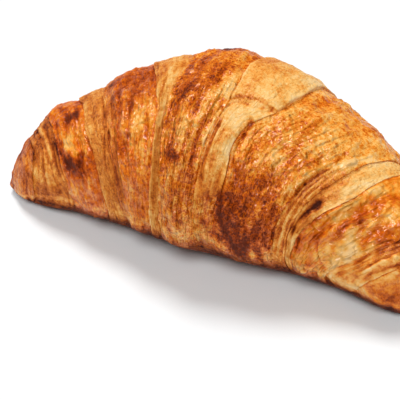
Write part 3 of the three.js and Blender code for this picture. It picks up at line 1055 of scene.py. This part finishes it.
def baked_crust():
    """Laminated wheat dough brushed with egg and baked. The wash browns into a thin, glossy skin
    over orange-brown blisters, and the cut sides, which had no wash, stay pale and matt."""
    material, tree = bare_material("baked_crust")
    place = add(tree, "ShaderNodeTexCoord", output="Object")
    names = ("toast", "glaze", "shine", "grain", "layered", "across", "along", "blister", "wrinkle")
    toast, glaze, shine, grain, layered, across, along, blister, wrinkle = (
        add(tree, "ShaderNodeAttribute", output="Fac", attribute_name=name) for name in names
    )

    # Millimetres across the wraps and, much slower, along them: fibres, and shorter brush marks
    slow = add(tree, MATH, (along, 0.15), operation="MULTIPLY")
    flow = add(tree, "ShaderNodeCombineXYZ", {"X": across, "Y": slow})
    less_slow = add(tree, MATH, (along, 0.35), operation="MULTIPLY")
    short_flow = add(tree, "ShaderNodeCombineXYZ", {"X": across, "Y": less_slow})

    noise = {}
    for name, *values in (
        ("fibre", flow, 1.1, 4.0, 0.6, 0.4),
        ("brush", short_flow, 1.0, 3.0, 0.6, 0.8),
        ("mottle", place, per(6.0), 3.0, 0.5, 0.0),
        ("speckle", place, per(2.2), 3.0, 0.6, 0.0),
        ("grit", place, per(0.9), 2.0, 0.6, 0.0),
        ("skin", place, per(2.6), 1.0, 0.5, 0.6),
        ("fine skin", place, per(1.5), 1.0, 0.5, 0.4),
        ("pits", place, per(1.7), 2.0, 0.6, 0.0),
        ("cracks", place, per(5.0), 2.0, 0.6, 0.8),
        ("puckers", place, per(2.4), 0.0, 0.5, 0.5),
        ("strokes", flow, 0.8, 0.0, 0.5, 0.5),
        ("felt", place, per(1.2), 1.0, 0.4, 0.0),
        ("gloss", place, per(5.0), 3.0, 0.6, 0.0),
    ):
        sockets = ("Vector", "Scale", "Detail", "Roughness", "Distortion")
        noise[name] = add(tree, NOISE, dict(zip(sockets, values)), "Fac")

    fibre = add(tree, MATH, (noise["fibre"], 0.5), operation="SUBTRACT")
    fibrous = add(tree, MAP, {"Value": layered, "From Max": 0.5, "To Min": 0.35})
    fibre = add(tree, MATH, (fibre, fibrous), operation="MULTIPLY")
    grit = add(tree, MATH, (noise["grit"], 0.5), operation="SUBTRACT")
    grit = add(tree, MATH, (grit, grain), operation="MULTIPLY")
    bubble = add(tree, VORONOI, {"Vector": place, "Scale": per(1.9)}, "Distance")
    bubbles = add(tree, MAP, {"Value": bubble, "From Min": 0.8, "From Max": 0.1},
                  interpolation_type="SMOOTHSTEP")
    bubbles = add(tree, MATH, (bubbles, glaze), operation="MULTIPLY")

    # Fine lines where a noise is halfway, which wander like puckered skin, and like cracks
    creases = {}
    for name, width in (("skin", 0.05), ("brush", 0.05), ("fine skin", 0.07), ("cracks", 0.018)):
        away = add(tree, MATH, (noise[name], 0.5), operation="SUBTRACT")
        away = add(tree, MATH, (away,), operation="ABSOLUTE")
        creases[name] = add(tree, MAP, {"Value": away, "From Min": width, "From Max": 0.0},
                            interpolation_type="SMOOTHSTEP")
    pucker = add(tree, MATH, (creases["skin"], creases["brush"]), operation="MAXIMUM")
    pucker = add(tree, MATH, (pucker, creases["fine skin"]), operation="MAXIMUM")
    washed_grain = add(tree, MATH, (glaze, grain), operation="MULTIPLY")
    pucker = add(tree, MATH, (pucker, washed_grain), operation="MULTIPLY")

    # Small burnt pits and fine cracks where there is no wash
    pits = add(tree, MAP, {"Value": noise["pits"], "From Min": 0.58, "From Max": 0.72})
    pits = add(tree, MATH, (pits, creases["cracks"]), operation="MAXIMUM")
    dry_share = add(tree, MATH, (1.1, glaze), operation="SUBTRACT")
    pits = add(tree, MATH, (pits, dry_share), operation="MULTIPLY")

    # How brown each point is, and the colours of bare and of washed dough at that brown. Blisters,
    # bubbles and pucker lines are paler, and wrinkles paler on their crests and darker in their
    # hollows, partly as thinner and thicker skin and partly as painted highlight and painted shade.
    brown = toast
    for pattern, amount in (
        (fibre, 0.50), (noise["mottle"], 0.30), (noise["speckle"], 0.36), (noise["brush"], 0.30),
        (grit, 0.40), (blister, -0.20), (wrinkle, -0.40), (bubbles, -0.12), (pucker, -0.28), (pits, 0.22),
    ):
        brown = add(tree, MATH, (pattern, amount, brown), operation="MULTIPLY_ADD")
    # The patterns add about this much on average, so it is taken off again
    brown = add(tree, MATH, (brown, 0.415), operation="SUBTRACT")
    dry = add(tree, "ShaderNodeValToRGB", (brown,))
    set_stops(dry, (
        (0.00, "#ffd898"), (0.18, "#fbc87a"), (0.34, "#f5b056"), (0.47, "#e89036"),
        (0.60, "#d07222"), (0.74, "#ae5416"), (0.88, "#80360e"), (1.00, "#48190a"),
    ))
    washed = add(tree, "ShaderNodeValToRGB", (brown,))
    set_stops(washed, (
        (0.00, "#ffcc84"), (0.18, "#febc5c"), (0.34, "#f6a038"), (0.47, "#ea7f0e"),
        (0.60, "#d66200"), (0.74, "#b04600"), (0.88, "#842f02"), (1.00, "#602004"),
    ))
    wash = add(tree, MAP, {"Value": glaze, "From Min": 0.3, "From Max": 0.9})
    colour = add(tree, "ShaderNodeMix", {0: wash, 6: dry, 7: washed}, output=2, data_type="RGBA")

    # Heights in millimetres: smooth puckers on the glaze, finer felt and fibres on the cut sides
    strokes = add(tree, MATH, (noise["strokes"], 1.4), operation="MULTIPLY")
    height = add(tree, MATH, (noise["puckers"], 1.8, strokes), operation="MULTIPLY_ADD")
    shiny = add(tree, MATH, (glaze, shine), operation="MULTIPLY")
    height = add(tree, MATH, (height, shiny), operation="MULTIPLY")
    smooth = add(tree, MATH, (glaze, 2.0), operation="POWER")
    matt = add(tree, MATH, (1.15, smooth), operation="SUBTRACT")
    for pattern, rise in ((noise["felt"], 0.6), (fibre, 0.9)):
        matt_pattern = add(tree, MATH, (pattern, matt), operation="MULTIPLY")
        height = add(tree, MATH, (matt_pattern, rise, height), operation="MULTIPLY_ADD")
    bump = add(tree, "ShaderNodeBump", {"Height": height, "Strength": 1.0, "Distance": 1.0 * MM})

    # The wash is smoothest where it lies thick, shines in patches, and is dull where it scorched
    rough = add(tree, MATH, (glaze, -0.20, 0.70), operation="MULTIPLY_ADD")
    rough = add(tree, MATH, (noise["mottle"], 0.16, rough), operation="MULTIPLY_ADD")
    gloss = add(tree, MAP, {"Value": noise["gloss"], "From Min": 0.36, "From Max": 0.52, "To Min": 0.30})
    unscorched = add(tree, MAP, {"Value": brown, "From Min": 0.5, "From Max": 0.80,
                                 "To Min": 1.0, "To Max": 0.15})
    coat = add(tree, MATH, (shine, gloss), operation="MULTIPLY")
    coat = add(tree, MATH, (coat, unscorched), operation="MULTIPLY")
    skin = add(tree, "ShaderNodeBsdfPrincipled",
               {"Base Color": colour, "Roughness": rough, "Normal": bump, "IOR": 1.45,
                "Coat Weight": coat, "Coat Roughness": 0.17, "Coat IOR": 1.5, "Coat Normal": bump,
                "Specular IOR Level": 0.12})
    add(tree, "ShaderNodeOutputMaterial", {"Surface": skin})
    return material


def studio_white():
    """Matt white paper sweep: rough, uncoated and faintly cool."""
    material, tree = bare_material("studio_white")
    paper = add(tree, "ShaderNodeBsdfPrincipled", {"Base Color": linear("#f3f6f7"), "Roughness": 0.9})
    add(tree, "ShaderNodeOutputMaterial", {"Surface": paper})
    return material


# ---------------------------------------------------------------------------------------------
# Studio
# ---------------------------------------------------------------------------------------------


def direction(azimuth, elevation):
    """The unit vector from the croissant towards this azimuth and elevation, in degrees."""
    a, e = math.radians(azimuth), math.radians(elevation)
    return Vector((math.sin(a) * math.cos(e), -math.cos(a) * math.cos(e), math.sin(e)))


def make_camera():
    """The camera, in front of the croissant and above it, a little to its right."""
    camera = bpy.data.objects.new("camera", bpy.data.cameras.new("camera"))
    bpy.context.scene.collection.objects.link(camera)
    back = direction(CAMERA_AZIMUTH, CAMERA_ELEVATION)
    camera.location = Vector(CAMERA_TARGET) + back * CAMERA_DISTANCE
    camera.rotation_euler = (-back).to_track_quat("-Z", "Y").to_euler()
    camera.data.lens = CAMERA_LENS
    camera.data.sensor_width = 36
    camera.data.shift_x, camera.data.shift_y = CAMERA_SHIFT
    camera.data.clip_start = 0.01
    bpy.context.scene.camera = camera


def soft_light(name, azimuth, elevation, strength, spread):
    """A studio light far away, as wide in the sky as spread degrees."""
    lamp = bpy.data.lights.new(name, "SUN")
    lamp.energy = strength
    lamp.angle = math.radians(spread)
    light = bpy.data.objects.new(name, lamp)
    bpy.context.scene.collection.objects.link(light)
    towards = direction(azimuth, elevation)
    light.location = towards
    light.rotation_euler = (-towards).to_track_quat("-Z", "Y").to_euler()


def make_studio():
    """A white floor in a white room, with two soft lights."""
    bpy.ops.mesh.primitive_plane_add(size=FLOOR_SIZE)
    floor = bpy.context.object
    floor.name = "floor"
    floor.data.materials.append(studio_white())
    soft_light("key light", *KEY_LIGHT)
    soft_light("front light", *FRONT_LIGHT)
    world = bpy.data.worlds.new("white room")
    bpy.context.scene.world = world
    world.use_nodes = True
    background = world.node_tree.nodes["Background"]
    background.inputs["Color"].default_value = linear("#fbfcff")
    # The walls look white, but give only a weak fill light
    seen = add(world.node_tree, "ShaderNodeLightPath", output="Is Camera Ray")
    strength = add(world.node_tree, MAP, {"Value": seen, "To Min": WALL_FILL, "To Max": 1.0})
    world.node_tree.links.new(strength, background.inputs["Strength"])
    bpy.context.scene.view_settings.view_transform = "Standard"


# ---------------------------------------------------------------------------------------------
# Making the croissant
# ---------------------------------------------------------------------------------------------

make_camera()
make_studio()

crust_mesh = grown_mesh(make_crust_mesh(), "crust", crust_relief_tree(baked_crust()), RELIEF_SIZES)
crust_mesh.shade_smooth()
fit_to_cad(crust_mesh)
crust = bpy.data.objects.new("crust", crust_mesh)
bpy.context.scene.collection.objects.link(crust)
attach(crust, "root")
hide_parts("croissant")
